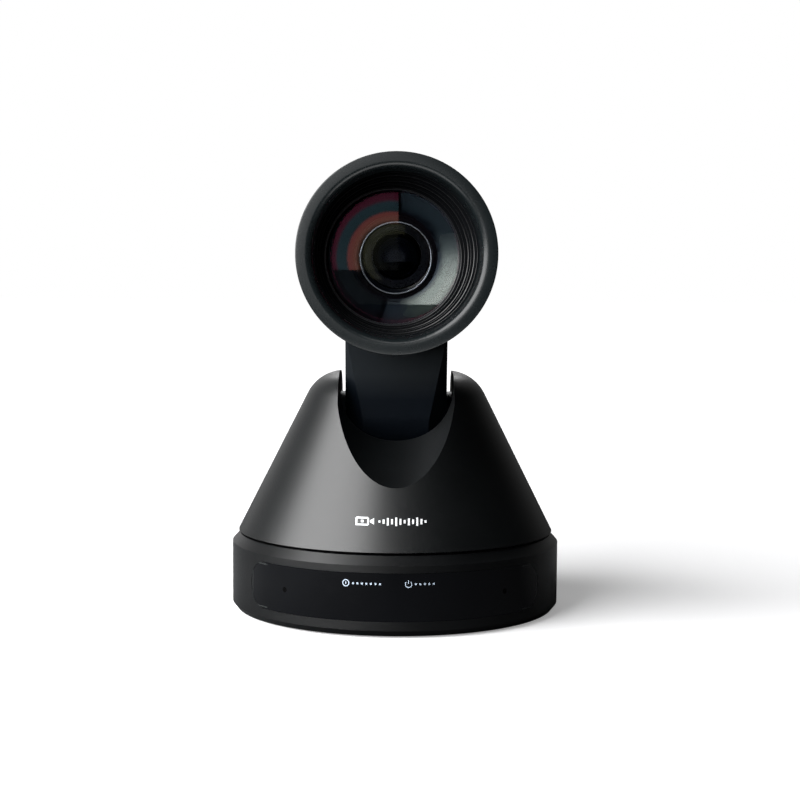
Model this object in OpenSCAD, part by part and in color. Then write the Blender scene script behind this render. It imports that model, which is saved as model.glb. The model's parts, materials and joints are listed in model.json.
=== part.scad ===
// Conference pan-tilt-zoom camera.
// Millimetres. Z is up, the lens looks along -Y, the pan axis is the Z axis.

/* [Base] */
// Radius of the base's wall
base_r = 59; // [50:0.5:75]
// Height of the top of the base's wall
wall_top_z = 24.2; // [20:0.1:30]
// Height of the base's top deck
deck_z = 27.2; // [24:0.1:34]
// How far the rubber feet stand proud of the base plate
foot_proud = 0.6; // [0.4:0.1:2]

/* [Turret] */
// Height of the turret's lower edge
cone_z = 28.2; // [27.8:0.1:32]
// Radius of the turret's lower edge
cone_r = 56.8; // [48:0.1:70]
// Fall in radius for each millimetre of height
cone_slope = 0.503; // [0.3:0.001:0.8]
// Height of the tops of the two ears
ear_top_z = 85.5; // [75:0.5:100]
// Radius of the rounded shoulder at the ears
shoulder_r = 14.5; // [6:0.5:20]
// Wall thickness of the turret's shell
wall = 2.2; // [1.6:0.1:3]
// Half width of the gap between the ears
gap_half = 20.3; // [16:0.1:26]
// Rise of the front scoop in degrees
scoop_rise = 24.2; // [10:0.1:40]

/* [Head] */
// Height of the tilt axis
tilt_z = 70; // [60:0.5:80]
// Height of the lens axis
lens_z = 126.2; // [110:0.1:140]
// Outside radius of the front ring
ring_r = 32.3; // [28:0.1:38]
// Outside radius of the head's barrel
barrel_r = 31.5; // [26:0.1:36]
// Distance of the ring's front from the pan axis
front_y = 69; // [60:0.5:80]
// Distance of the head's back from the pan axis
back_y = 18; // [14:0.5:24]
// Half width of the neck
neck_half = 18; // [14:0.1:22]
// Half depth of the neck
neck_deep = 17.5; // [12:0.1:22]

/* [Drives] */
// Gear module of the pan drive
gear_m = 0.7; // [0.5:0.1:1]
// Teeth on the pan gear
gear_teeth = 60; // [50:1:80]
// Teeth on the pan pinion
pinion_teeth = 20; // [16:1:30]

/* [Hidden] */
$fn = 64;
e = 0.01;
slant = atan(cone_slope);
pan_centres = gear_m * (gear_teeth + pinion_teeth) / 2;
mz = 44;       // tilt motor's axis: height
my = -24;      // tilt motor's axis: distance along Y
plate_z = 29.4;
plate_top = 31.4;
pcb_z = 5.6;
io_y = 45;
io_half = 36.3;
balls = 12;
boss_at = [[43.3, 25], [-43.3, 25], [-43.3, -25], [43.3, -25]];
post_at = [[21, 23], [-21, 23], [21, 33], [-21, 33]];
screw_at = [45, 135, 225, 315];
foot_at = [0, 90, 180, 270];
// name of port, centre x, width, height
port_dc = [-31, 9, 11];
port_serial = [-18.5, 13, 12.6];
port_usb = [-5, 12, 10.6];
port_hdmi = [10, 15.4, 6.2];
port_lan = [27, 16.2, 13.4];
ports = [port_dc, port_serial, port_usb, port_hdmi, port_lan];
rod_at = [[14, -14], [-14, 14]];
cap_screw_at = [30, 150, 210, 330];

// ---------- helpers ----------
module box(x0, x1, y0, y1, z0, z1) {
  translate([x0, y0, z0]) cube([x1 - x0, y1 - y0, z1 - z0]);
}

module tube(ro, ri, z0, z1) {
  difference() {
    translate([0, 0, z0]) cylinder(r = ro, h = z1 - z0);
    translate([0, 0, z0 - 1]) cylinder(r = ri, h = z1 - z0 + 2);
  }
}

module rod(r, z0, z1, at = [0, 0]) {
  translate([at[0], at[1], z0]) cylinder(r = r, h = z1 - z0);
}

// Turns a shape drawn round Z so that it lies round the lens axis: z becomes y.
module on_lens(dx = 0) {
  translate([dx, 0, lens_z]) rotate([-90, 0, 0]) children();
}

// A disc round the lens axis between two distances along Y.
module ldisc(r, y0, y1, dx = 0, at = [0, 0]) {
  on_lens(dx) translate([at[0], -at[1], y0]) cylinder(r = r, h = y1 - y0);
}

// A disc round an axis along X.
module xdisc(r, x0, x1, y = 0, z = tilt_z) {
  translate([x0, y, z]) rotate([0, 90, 0]) cylinder(r = r, h = x1 - x0);
}

// ---------- gears ----------
function inv(a) = tan(a) - a * PI / 180;
function half_tooth(r, rp, n) =
  let (rb = rp * cos(20), q = max(r, rb + 0.001))
  90 / n - 0.05 / rp * 57.3 + (inv(20) - inv(acos(rb / q))) * 57.3;

module gear2d(n, m, turn = 0) {
  rp = n * m / 2;
  rr = rp - 1.25 * m;
  ro = rp + 0.9 * m;
  mid = [rp - 0.55 * m, rp, rp + 0.45 * m, ro];
  back = [ro, rp + 0.45 * m, rp, rp - 0.55 * m];
  pts = [for (i = [0 : n - 1]) each concat(
    [[rr, i * 360 / n - half_tooth(rr, rp, n) - 20 / n]],
    [for (r = mid) [r, i * 360 / n - half_tooth(r, rp, n)]],
    [for (r = back) [r, i * 360 / n + half_tooth(r, rp, n)]],
    [[rr, i * 360 / n + half_tooth(rr, rp, n) + 20 / n]]
  )];
  polygon([for (p = pts) p[0] * [cos(p[1] + turn), sin(p[1] + turn)]]);
}

// ---------- turret form ----------
function cone_at(z) = cone_r - cone_slope * (z - cone_z);
edge_r = cone_at(ear_top_z);
tan_len = shoulder_r * tan((90 - slant) / 2);
cap_r = edge_r - tan_len;
join_z = ear_top_z - tan_len * cos(slant);

// The turret's full cone with its rounded shoulder, shrunk by g all round.
module cone_form(g) {
  z0 = g > 0 ? cone_z - 2 : cone_z;
  out = g / cos(slant);
  translate([0, 0, z0])
    cylinder(r1 = cone_at(z0) - out, r2 = cone_at(join_z) - out, h = join_z - z0);
  intersection() {
    rotate_extrude() translate([cap_r, ear_top_z - shoulder_r]) circle(r = shoulder_r - g);
    rod(60, ear_top_z - shoulder_r, ear_top_z + 1);
  }
  rod(cap_r, ear_top_z - shoulder_r - 4, ear_top_z - g);
}

// Everything taken out of the turret: front scoop, seat for the neck, rear channel
// and the hollow for the head when it looks straight up. Grown by g for the walls.
module turret_cut(g) {
  r = gap_half + g;
  intersection() {
    translate([0, -46.4, 71.4]) rotate([scoop_rise, 0, 0]) {
      translate([0, -50, 0]) rotate([-90, 0, 0]) cylinder(r = r + 0.6, h = 120);
      box(-r - 0.6, r + 0.6, -50, 70, 0, 60);
    }
    box(-r, r, -70, 8, 30, 120);
  }
  xdisc(19.2 + g, -r, r);
  box(-r, r, 0, 70, 51 - g, 120);
  translate([0, 56.2, 51 - g]) cylinder(r = 33 + g, h = 70);
}

module turret_shell() {
  color("#1b1c1e") {
    difference() {
      cone_form(0);
      difference() {
        cone_form(wall);
        turret_cut(wall);
      }
      turret_cut(0);
      xdisc(5, -26, 26);
      rod(53.4, cone_z - 1, plate_z + 0.6);
    }
    intersection() {
      cone_form(0.6);
      for (a = screw_at) rotate([0, 0, a]) difference() {
        union() {
          rod(3.5, plate_top, 42, [46, 0]);
          box(46, 55, -1.2, 1.2, plate_top, 42);
        }
        rod(1.27, plate_top - 1, 40, [46, 0]);
      }
    }
  }
}

module turret_platform() {
  color("#8b8f94") {
    difference() {
      rod(50.5, plate_z, plate_top);
      rod(10.05, 20, 40);
      for (a = screw_at) rotate([0, 0, a]) rod(1.6, 20, 40, [46, 0]);
      for (x = [-1, 1]) for (y = [-14, 12]) rod(1.3, 20, 40, [29 * x, y]);
    }
    rod(2, deck_z + 0.4, plate_z, [0, 24]);
    for (p = post_at) rod(2, plate_top, 36, p);
  }
}

module pan_spindle() {
  color("#c4c7cb") difference() {
    union() {
      rod(10, 11, plate_top);
      rod(11.5, deck_z, 28.4);
      rod(18, 28.4, plate_z);
    }
    rod(7.5, 5, 50);
  }
}

module ball_groove() {
  rotate_extrude() translate([13, 23.7]) circle(r = 1.65);
}

module bearing_inner() {
  color("#c4c7cb") difference() {
    tube(12.2, 10.02, 20.2, deck_z);
    ball_groove();
  }
}

module bearing_outer() {
  color("#c4c7cb") difference() {
    tube(16, 13.8, 20.2, deck_z - 0.05);
    ball_groove();
  }
}

module bearing_balls() {
  color("#d8dadc") for (i = [0 : balls - 1])
    rotate([0, 0, i * 360 / balls]) translate([13, 0, 23.7]) sphere(r = 1.6, $fn = 24);
}

module pan_gear() {
  color("#d9d6cc") difference() {
    union() {
      translate([0, 0, 13]) linear_extrude(4) gear2d(gear_teeth, gear_m);
      rod(11.8, 16, 20.15);
    }
    rod(10.02, 10, 25);
    for (a = [0 : 60 : 300]) rotate([0, 0, a]) rod(2.6, 10, 25, [15.8, 0]);
  }
}

module gear_nut() {
  color("#9a9da1") difference() {
    translate([0, 0, 11]) cylinder(r = 13, h = 1.95, $fn = 6);
    rod(10.02, 5, 20);
  }
}

module pan_pinion() {
  color("#b99a55") {
    translate([pan_centres, 0, 12.9]) linear_extrude(4.2)
      gear2d(pinion_teeth, gear_m, 180 + 180 / pinion_teeth);
    rod(1, 4.5, 13, [pan_centres, 0]);
    rod(3.2, 12.5, 13, [pan_centres, 0]);
  }
}

// ---------- base ----------
module base_plate() {
  color("#3a3c3f") difference() {
    rod(55.6, foot_proud, 2.6);
    rod(5.02, -1, 5);
    for (a = foot_at) rotate([0, 0, a]) rod(5.1, -1, foot_proud + 0.4, [46, 0]);
    for (p = boss_at) rod(1.7, -1, 5, p);
    for (p = boss_at) rod(3.1, -1, 1.4, p);
    for (a = screw_at) rotate([0, 0, a]) rod(1.65, -1, 5, [35, 0]);
    for (x = [-1, 1]) for (i = [0 : 4])
      box(16 * x - 6, 16 * x + 6, -28 + i * 3, -26.6 + i * 3, -1, 5);
  }
}

// Points out at the front by a degrees, a positive to the right.
module at_front(a) {
  rotate([0, 0, a]) children();
}

// A plain cylinder pointing out of the wall at the front, a degrees round.
module front_peg(r, a, z, d0, d1) {
  at_front(a) translate([0, -d0, z]) rotate([90, 0, 0]) cylinder(r = r, h = d1 - d0);
}

// The window's curved band between two radii, with round ends; grown by g.
module window_form(r0, r1, g) {
  zc = 13.75;
  h = 8 + g;
  turn = 49.2;
  intersection() {
    tube(r1, r0, zc - 10, zc + 10);
    union() {
      rotate([0, 0, -90 - turn]) rotate_extrude(angle = 2 * turn)
        translate([40, zc - h]) square([30, 2 * h]);
      for (s = [-1, 1]) front_peg(h, s * turn, zc, 40, 70);
    }
  }
}

module front_window() {
  color("#08090a") window_form(57.45, 58.92, 0);
}

module base_housing() {
  color("#1b1c1e") difference() {
    union() {
      rotate_extrude() polygon([
        [55.8, foot_proud], [57.4, foot_proud], [base_r, 2.6], [base_r, wall_top_z],
        [56.3, deck_z], [16.02, deck_z], [16.02, 20.2], [14.5, 20.2], [14.5, 18.9],
        [18.5, 18.9], [18.5, 24.8], [55.8, 24.8]
      ]);
      for (p = boss_at) rod(3.3, 2.65, 25, p);
      for (p = boss_at) rotate([0, 0, atan2(p[1], p[0])])
        box(52, 57, -1, 1, 2.65, 25);
      rotate([0, 0, -90]) box(22, 26, -2.1, 2.1, deck_z - 0.5, 28.6);
    }
    for (p = boss_at) rod(1.27, 0, 20, p);
    window_form(57.4, 62, 0.1);
    for (s = [-1, 1]) front_peg(3.1, s * 39, 13.7, 50, 60);
    rotate([0, 0, -90 - 22]) rotate_extrude(angle = 42)
      translate([50, 11]) square([10, 9]);
    box(-36.5, 36.5, 42.7, 62, 4.8, 22.7);
  }
}

module mic_holes() {
  for (s = [-1, 1]) front_peg(3.1, s * 39, 13.7, 50, 60);
}

module microphones() {
  color("#a8abb0") for (s = [-1, 1]) difference() {
    front_peg(3, s * 39, 13.7, 54.2, 57.3);
    front_peg(0.6, s * 39, 13.7, 56.8, 58);
  }
}

module indicator_board() {
  color("#1f5a35") intersection() {
    box(-21, 17, -54.6, -46, 8, 21);
    difference() {
      tube(54.6, 53.2, 8, 21);
      front_peg(3.4, 0, 11, 40, 60);
    }
  }
}

module ir_receiver() {
  color("#2a1a1a") front_peg(2.6, -2, 16, 54.7, 57.2);
}

module main_board() {
  color("#1f5a35") difference() {
    intersection() {
      rod(54.5, pcb_z, pcb_z + 1.6);
      box(-54, 54, -30, 43, 0, 10);
    }
    rod(11, 0, 10);
    box(10, 60, -30, 20, 0, 10);
    for (p = boss_at) rod(4.9, 0, 10, p);
    for (x = [-38, 38]) rod(1.6, 0, 10, [x, 30]);
  }
}

module io_panel() {
  color("#26282b") difference() {
    box(-io_half, io_half, 43.5, io_y, 5, 22.5);
    for (p = ports)
      box(p[0] - p[1] / 2 - 0.2, p[0] + p[1] / 2 + 0.2, 40, 50, 7, 7.4 + p[2] + 0.2);
  }
}

// Shell of a port: a block from the board to just proud of the panel.
module port_block(p, d = 14) {
  box(p[0] - p[1] / 2, p[0] + p[1] / 2, io_y + 0.3 - d, io_y + 0.3, 7.25, 7.25 + p[2]);
}

module dc_jack() {
  p = port_dc;
  color("#141516") {
    difference() {
      port_block(p);
      translate([p[0], io_y + 1, 13]) rotate([90, 0, 0]) cylinder(r = 3.2, h = 10);
    }
    translate([p[0], io_y - 1, 13]) rotate([90, 0, 0]) cylinder(r = 1, h = 9);
  }
}

module serial_port() {
  p = port_serial;
  color("#141516") {
    difference() {
      port_block(p);
      translate([p[0], io_y + 1, 13.6]) rotate([90, 0, 0]) cylinder(r = 4.6, h = 7);
    }
    box(p[0] - 1.2, p[0] + 1.2, io_y - 6.5, io_y - 1, 10.4, 12);
  }
}

module usb_port() {
  p = port_usb;
  color("#b7babe") difference() {
    port_block(p, 15);
    box(p[0] - 4.6, p[0] + 4.6, io_y - 9, io_y + 2, 8.6, 16.6);
  }
  color("#2c5fa8") box(p[0] - 2.9, p[0] + 2.9, io_y - 9.5, io_y - 0.6, 11.2, 14);
}

module hdmi_port() {
  p = port_hdmi;
  color("#b7babe") difference() {
    port_block(p, 12);
    box(p[0] - 7, p[0] + 7, io_y - 8, io_y + 2, 8, 12.7);
  }
  color("#141516") box(p[0] - 5.2, p[0] + 5.2, io_y - 8.5, io_y - 1, 8.6, 9.6);
}

module lan_port() {
  p = port_lan;
  color("#b7babe") difference() {
    port_block(p, 15);
    box(p[0] - 5.9, p[0] + 5.9, io_y - 11, io_y + 2, 9, 16.2);
    box(p[0] - 3.2, p[0] + 3.2, io_y - 11, io_y + 2, 16, 18.2);
  }
}

module rubber_feet() {
  color("#101010") for (a = foot_at) rotate([0, 0, a]) rod(4.9, 0, foot_proud + 0.4, [46, 0]);
}

module tripod_insert() {
  color("#c9a24a") difference() {
    union() {
      rod(5, foot_proud, 9);
      rod(7, 2.6, 4);
    }
    rod(2.55, 0, 8);
  }
}

module base_screws() {
  color("#8f9296") for (p = boss_at) {
    rod(1.25, 0.9, 12, p);
    rod(2.7, 0.7, 1.4, p);
  }
}

module pan_motor() {
  color("#a5a8ad") difference() {
    union() {
      rod(10, 2.6, 11, [pan_centres, 0]);
      box(pan_centres - 2.5, pan_centres + 2.5, -12, 12, 10.2, 11);
    }
    rod(1.06, 4, 12, [pan_centres, 0]);
  }
}

module motor_bracket() {
  color("#8b8f94") {
    difference() {
      box(17, 43, -18, 18, 11, 12.2);
      rod(4, 10, 14, [pan_centres, 0]);
      rod(13.4, 10, 14);
    }
    for (s = [-1, 1]) rod(2.6, 2.6, 11, [pan_centres, s * 15]);
  }
}

// ---------- turret inside ----------
module arm_outline(motor) {
  difference() {
    union() {
      polygon([[-22, plate_top], [20, plate_top], [8.5, 70], [-8.5, 70]]);
      translate([0, tilt_z]) circle(r = 8.5);
      if (motor) translate([my, mz]) circle(r = 11);
      if (motor) polygon([[my - 11, plate_top], [0, plate_top], [-8, 60], [my, mz + 10],
                          [my - 11, mz]]);
    }
    translate([0, tilt_z]) circle(r = 5.5);
    if (motor) translate([my, mz]) circle(r = 5);
  }
}

module yoke_arm(side, motor) {
  x0 = side > 0 ? 23 : -25;
  translate([x0, 0, 0]) rotate([90, 0, 90]) linear_extrude(2) arm_outline(motor);
  difference() {
    if (side > 0) box(24, 33, -20, 18, plate_top, plate_top + 1.6);
    else box(-33, -24, -20, 18, plate_top, plate_top + 1.6);
    for (y = [-14, 12]) rod(1.3, 20, 40, [29 * side, y]);
  }
}

module yoke_arm_left() {
  color("#9a9da1") yoke_arm(-1, false);
}

module yoke_arm_right() {
  color("#9a9da1") yoke_arm(1, true);
}

module tilt_bushings() {
  color("#c9a24a") for (s = [-1, 1]) scale([1, 1, 1]) difference() {
    union() {
      if (s > 0) xdisc(5.48, 22.6, 25.3);
      if (s > 0) xdisc(6.8, 22.6, 22.98);
      if (s < 0) xdisc(5.48, -25.3, -22.6);
      if (s < 0) xdisc(6.8, -22.98, -22.6);
    }
    xdisc(4.06, -30, 30);
  }
}

module tilt_motor() {
  color("#a5a8ad") difference() {
    union() {
      xdisc(10, 9, 22.95, my, mz);
      xdisc(4.8, 22.9, 25.2, my, mz);
    }
    xdisc(1.56, 11, 30, my, mz);
  }
}

// Outline of a belt side round two pulleys.
module belt2d(r1, r2) {
  dy = my;
  dz = mz - tilt_z;
  d = sqrt(dy * dy + dz * dz);
  a = atan2(dz, dy);
  b = acos((r1 - r2) / d);
  p = [[0, tilt_z], [my, mz]];
  q1 = r1 - 0.004;
  q2 = r2 - 0.004;
  translate(p[0]) circle(r = r1);
  translate(p[1]) circle(r = r2);
  polygon([
    p[0] + q1 * [cos(a + b), sin(a + b)], p[1] + q2 * [cos(a + b), sin(a + b)],
    p[1] + q2 * [cos(a - b), sin(a - b)], p[0] + q1 * [cos(a - b), sin(a - b)]
  ]);
}

module tilt_belt() {
  color("#1a1a1a") translate([26.2, 0, 0]) rotate([90, 0, 90]) linear_extrude(1.8)
    difference() {
      belt2d(6.98, 3.98);
      belt2d(6.08, 3.08);
    }
}

module pulley(r, y, z) {
  xdisc(r + 1.4, 25.6, 26.1, y, z);
  xdisc(r, 25.6, 28.6, y, z);
  xdisc(r + 1.4, 28.1, 28.6, y, z);
}

module tilt_pulley() {
  color("#b9bcc0") difference() {
    pulley(6, 0, tilt_z);
    xdisc(4.01, 20, 35);
  }
}

module motor_pulley() {
  color("#b9bcc0") {
    pulley(3, my, mz);
    xdisc(1.5, 12, 26, my, mz);
  }
}

module tilt_shafts() {
  color("#c4c7cb") {
    xdisc(4, 15.6, 29.2);
    difference() {
      xdisc(4, -28, -15.6);
      xdisc(2.4, -30, -10);
    }
  }
}

module driver_board() {
  color("#1f5a35") difference() {
    box(-26, 26, 19.5, 36.5, 36, 37.6);
    for (p = post_at) rod(1, 30, 40, p);
  }
}

module wire_harness() {
  color("#222222") {
    rod(2.5, 10, 34);
    translate([0, 0, 34]) sphere(r = 2.5);
    translate([0, 19, 34]) rotate([90, 0, 0]) cylinder(r = 2.5, h = 19);
  }
}

module turret_screws() {
  color("#8f9296") for (a = screw_at) rotate([0, 0, a]) {
    rod(1.25, plate_z - 0.2, 39, [46, 0]);
    rod(2.8, plate_z - 1.2, plate_z, [46, 0]);
  }
}

// ---------- head ----------
// Side profile of the neck, drawn in Y and Z.
module neck2d(d, top) {
  translate([0, tilt_z]) circle(r = d);
  translate([-d, tilt_z]) square([2 * d, top - tilt_z]);
}

// Slanting flats that narrow the neck's front and back faces downward.
module neck_flats(g) {
  for (s = [-1, 1]) for (t = [-1, 1]) scale([1, 1, 1])
    mirror([s < 0 ? 1 : 0, 0, 0]) mirror([0, t < 0 ? 1 : 0, 0])
      translate([15.2 - g * 0.7, -neck_deep + g * 0.7, 86]) rotate([0, 8.3, -45])
        translate([0, -30, -60]) cube([20, 60, 120]);
}

module neck_shell() {
  color("#1b1c1e") difference() {
    union() {
      difference() {
        translate([-neck_half, 0, 0]) rotate([90, 0, 90])
          linear_extrude(2 * neck_half) neck2d(neck_deep, 108);
        neck_flats(0);
      }
      xdisc(8, -gap_half + 0.3, gap_half - 0.3);
    }
    difference() {
      translate([-15.6, 0, 0]) rotate([90, 0, 90])
        linear_extrude(31.2) neck2d(neck_deep - 2.2, 120);
      neck_flats(2.2);
    }
    xdisc(4.02, -25, 25);
    ldisc(barrel_r + 0.03, -30, 30);
    box(-11.1, 11.1, 10, 20, 73.9, 92.1);
  }
}

module neck_cover() {
  color("#1b1c1e") difference() {
    box(-11, 11, neck_deep - 2.1, neck_deep - 0.2, 74, 92);
    for (i = [0 : 5]) box(-8, 8, 10, 20, 76 + i * 2.6, 77.2 + i * 2.6);
  }
}

module head_barrel() {
  color("#1b1c1e") {
    difference() {
      ldisc(barrel_r, -61, 13.5);
      ldisc(29.4, -70, 20);
      box(-12, 12, -12, 12, 80, 110);
    }
    intersection() {
      ldisc(barrel_r - 0.5, 9.9, 13.5);
      difference() {
        for (a = cap_screw_at) ldisc(3.6, 9.9, 13.5, 0, 26 * [cos(a), sin(a)]);
        for (a = cap_screw_at) ldisc(1.22, 9, 14, 0, 26 * [cos(a), sin(a)]);
      }
    }
  }
}

module front_ring() {
  color("#24282a") on_lens() rotate_extrude() polygon([
    [27, -58.5], [27, -62.3], [26.4, -62.3], [28.06, -68.2], [28.8, -front_y],
    [30.7, -front_y], [31.8, -68.2], [ring_r, -66.8], [ring_r, -61.05], [29.35, -61.05],
    [29.35, -58.5]
  ]);
}

module rear_cap() {
  r = 3;
  color("#1b1c1e") difference() {
    union() {
      ldisc(barrel_r, 13.55, back_y - r);
      ldisc(barrel_r - r, 13.55, back_y);
      on_lens() intersection() {
        rotate_extrude() translate([barrel_r - r, back_y - r]) circle(r = r);
        rod(40, 13.55, 30);
      }
    }
    ldisc(21.5, 13, back_y - 2);
    for (a = cap_screw_at) ldisc(1.3, 10, 20, 0, 26 * [cos(a), sin(a)]);
    for (a = cap_screw_at) ldisc(2.3, back_y - 1.6, 20, 0, 26 * [cos(a), sin(a)]);
    for (i = [-3 : 3]) box(-12, 12, 10, 25, lens_z + i * 4.2 - 0.8, lens_z + i * 4.2 + 0.8);
  }
}

// The hood's throat steps down to the glass, each step a little further to one side.
module hood_baffle() {
  step_r = [26, 25.2, 24.6, 24, 23.2, 22.4];
  step_x = [-0.3, -0.8, -1.1, -1.4, -1.6, -1.8];
  color("#0d0e10") difference() {
    union() {
      ldisc(26.9, -62.3, -58.4);
      ldisc(29.25, -58.4, -50);
    }
    for (i = [0 : 5]) ldisc(step_r[i], -64 + i * 2.4, -61.2 + i * 2.4, step_x[i]);
    ldisc(step_r[5], -53, -49, step_x[5]);
  }
}

module lens_retainer() {
  color("#2b2d30") difference() {
    ldisc(29.25, -49.95, -48.8);
    ldisc(21.8, -52, -47, -1.8);
  }
}

// A lens with one domed face towards the front.
module lens_form(r, dome, y_front, y_back) {
  intersection() {
    translate([0, y_front + dome, lens_z]) sphere(r = dome, $fn = 240);
    ldisc(r, y_front - 1, y_back);
  }
}

module front_element() {
  color("#4a3c66") lens_form(23.5, 62, -50.6, -45);
}

module lens_block() {
  color("#101113") difference() {
    union() {
      ldisc(29.3, -48.75, -46);
      ldisc(26.5, -48.75, -34);
      translate([0, 0, lens_z]) box(-19.5, 19.5, -34.01, 8, -19.5, 19.5);
    }
    ldisc(23.6, -50, -44.95);
    on_lens() translate([0, 0, -45]) cylinder(r1 = 22.6, r2 = 14.5, h = 4);
    ldisc(14.5, -46, -33);
    translate([0, 0, lens_z]) {
      box(-17.5, 17.5, -34, -13, -17.5, 17.5);
      box(-17.5, 17.5, -9.5, 9, -17.5, 17.5);
      box(-17.4, 17.4, -12, -10.5, -9, 9);
    }
    ldisc(7, -15, -8);
    for (p = rod_at) ldisc(1.52, -36, -8, 0, p);
  }
}

module inner_ring() {
  color("#303338") on_lens() rotate_extrude() polygon([
    [11.3, -43], [11.9, -43.3], [13.6, -42.6], [14.3, -41], [14.45, -40.9], [14.45, -35],
    [12, -35], [12, -42.2], [11.3, -42.2]
  ]);
}

module guide_rods() {
  color("#c4c7cb") for (p = rod_at) ldisc(1.5, -36, 7.9, 0, p);
}

module image_sensor() {
  color("#3a3350") translate([0, 0, lens_z]) box(-6, 6, 6.6, 7.95, -4.5, 4.5);
}

module sensor_board() {
  color("#1f5a35") translate([0, 0, lens_z]) box(-18.6, 18.6, 8, 9.6, -18.6, 18.6);
}

module head_screws() {
  color("#8f9296") for (a = cap_screw_at) {
    ldisc(1.2, 10.5, 17.4, 0, 26 * [cos(a), sin(a)]);
    ldisc(2.15, back_y - 1.55, back_y - 0.4, 0, 26 * [cos(a), sin(a)]);
  }
}

// Bars from a carrier out to bosses on the two rods.
module carrier_arms(y0, y1) {
  for (p = rod_at) ldisc(3, y0, y1, 0, p);
  translate([0, 0, lens_z]) rotate([0, 45, 0]) box(-19, 19, y0 + 0.2, y1 - 0.2, -2, 2);
}

module rod_bores(y0, y1) {
  for (p = rod_at) ldisc(1.56, y0 - 1, y1 + 1, 0, p);
}

module zoom_group() {
  color("#2a2c30") difference() {
    union() {
      ldisc(10.8, -41.2, -26.5);
      carrier_arms(-32, -26);
    }
    ldisc(9, -39, -20);
    ldisc(8.2, -45, -38);
    rod_bores(-32, -26);
  }
}

module zoom_lens() {
  color("#3b4a70") lens_form(8.95, 16, -38.2, -30);
}

module focus_group() {
  color("#2a2c30") difference() {
    union() {
      ldisc(8, -6, -1);
      carrier_arms(-5.8, -3);
    }
    ldisc(6, -7, -4.5);
    ldisc(6, -2.5, 0);
    rod_bores(-6, -3);
  }
}

module iris_blade(y0, s) {
  translate([0, 0, lens_z]) difference() {
    box(-9, 9, y0, y0 + 0.4, -8.6, 8.6);
    translate([0, y0 - 1, 0]) rotate([-90, 0, 0]) cylinder(r = 5.5, h = 3);
  }
}

module iris_blade_a() {
  color("#0a0a0a") iris_blade(-11.85, 1);
}

module iris_blade_b() {
  color("#0a0a0a") iris_blade(-11.05, -1);
}

base_plate();
base_housing();
front_window();
indicator_board();
ir_receiver();
microphones();
main_board();
io_panel();
dc_jack();
serial_port();
usb_port();
hdmi_port();
lan_port();
rubber_feet();
tripod_insert();
base_screws();
pan_motor();
motor_bracket();
bearing_outer();
bearing_balls();
pan_pinion();
turret_shell();
turret_platform();
pan_spindle();
bearing_inner();
pan_gear();
gear_nut();
yoke_arm_left();
yoke_arm_right();
tilt_bushings();
tilt_motor();
tilt_belt();
driver_board();
wire_harness();
turret_screws();
motor_pulley();
neck_shell();
neck_cover();
tilt_shafts();
tilt_pulley();
head_barrel();
front_ring();
rear_cap();
hood_baffle();
lens_retainer();
front_element();
lens_block();
inner_ring();
guide_rods();
image_sensor();
sensor_board();
head_screws();
zoom_group();
zoom_lens();
focus_group();
iris_blade_a();
iris_blade_b();
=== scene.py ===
"""Looks for the conference camera: materials, small details, light and camera.

The frame is the CAD's: Z up, the lens looks along -Y, lengths in metres. Profiles, prints
and whatever says so are in mm.
"""
import json
import math

import bmesh
import bpy
import numpy as np
from mathutils import Matrix, Vector

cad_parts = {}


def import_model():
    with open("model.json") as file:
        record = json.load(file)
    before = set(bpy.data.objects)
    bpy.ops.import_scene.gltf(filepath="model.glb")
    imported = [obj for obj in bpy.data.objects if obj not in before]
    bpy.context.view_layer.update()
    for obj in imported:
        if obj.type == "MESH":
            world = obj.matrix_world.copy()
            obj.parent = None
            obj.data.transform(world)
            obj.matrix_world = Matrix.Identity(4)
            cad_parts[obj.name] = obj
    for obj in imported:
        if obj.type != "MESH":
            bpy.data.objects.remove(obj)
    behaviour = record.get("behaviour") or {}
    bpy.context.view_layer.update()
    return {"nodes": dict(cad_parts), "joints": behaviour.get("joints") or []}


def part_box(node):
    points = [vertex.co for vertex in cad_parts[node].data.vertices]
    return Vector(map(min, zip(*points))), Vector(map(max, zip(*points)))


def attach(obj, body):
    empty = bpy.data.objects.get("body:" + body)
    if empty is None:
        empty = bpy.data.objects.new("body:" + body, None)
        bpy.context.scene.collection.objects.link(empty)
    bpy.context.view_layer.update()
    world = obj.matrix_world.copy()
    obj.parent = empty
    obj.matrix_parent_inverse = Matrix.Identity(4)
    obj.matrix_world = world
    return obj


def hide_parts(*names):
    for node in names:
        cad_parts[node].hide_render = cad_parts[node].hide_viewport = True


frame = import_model()
nodes = frame["nodes"]

MM = 0.001
GRAIN_DEPTH = 0.04 * MM  # height of the fine grain on plastic
SURFACE_TOL = 0.06 * MM  # how far a vertex may lie from the surface it belongs to


# ---------- places taken from the CAD ----------
def middle(node):
    lo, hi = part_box(node)
    return (lo + hi) / 2


LENS_Z = middle("front_ring").z
window_lo, window_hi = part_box("front_window")
WINDOW_Z = (window_lo.z + window_hi.z) / 2
WINDOW_R = -window_lo.y
shell_lo, shell_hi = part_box("turret_shell")
CONE_R = (shell_hi.x - shell_lo.x) / 2
CONE_Z = shell_lo.z
CONE_SLOPE = 0.503  # radius lost per height
TILT_Z = next(j for j in frame["joints"] if j["name"] == "tilt")["pos_m"][2]


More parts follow.
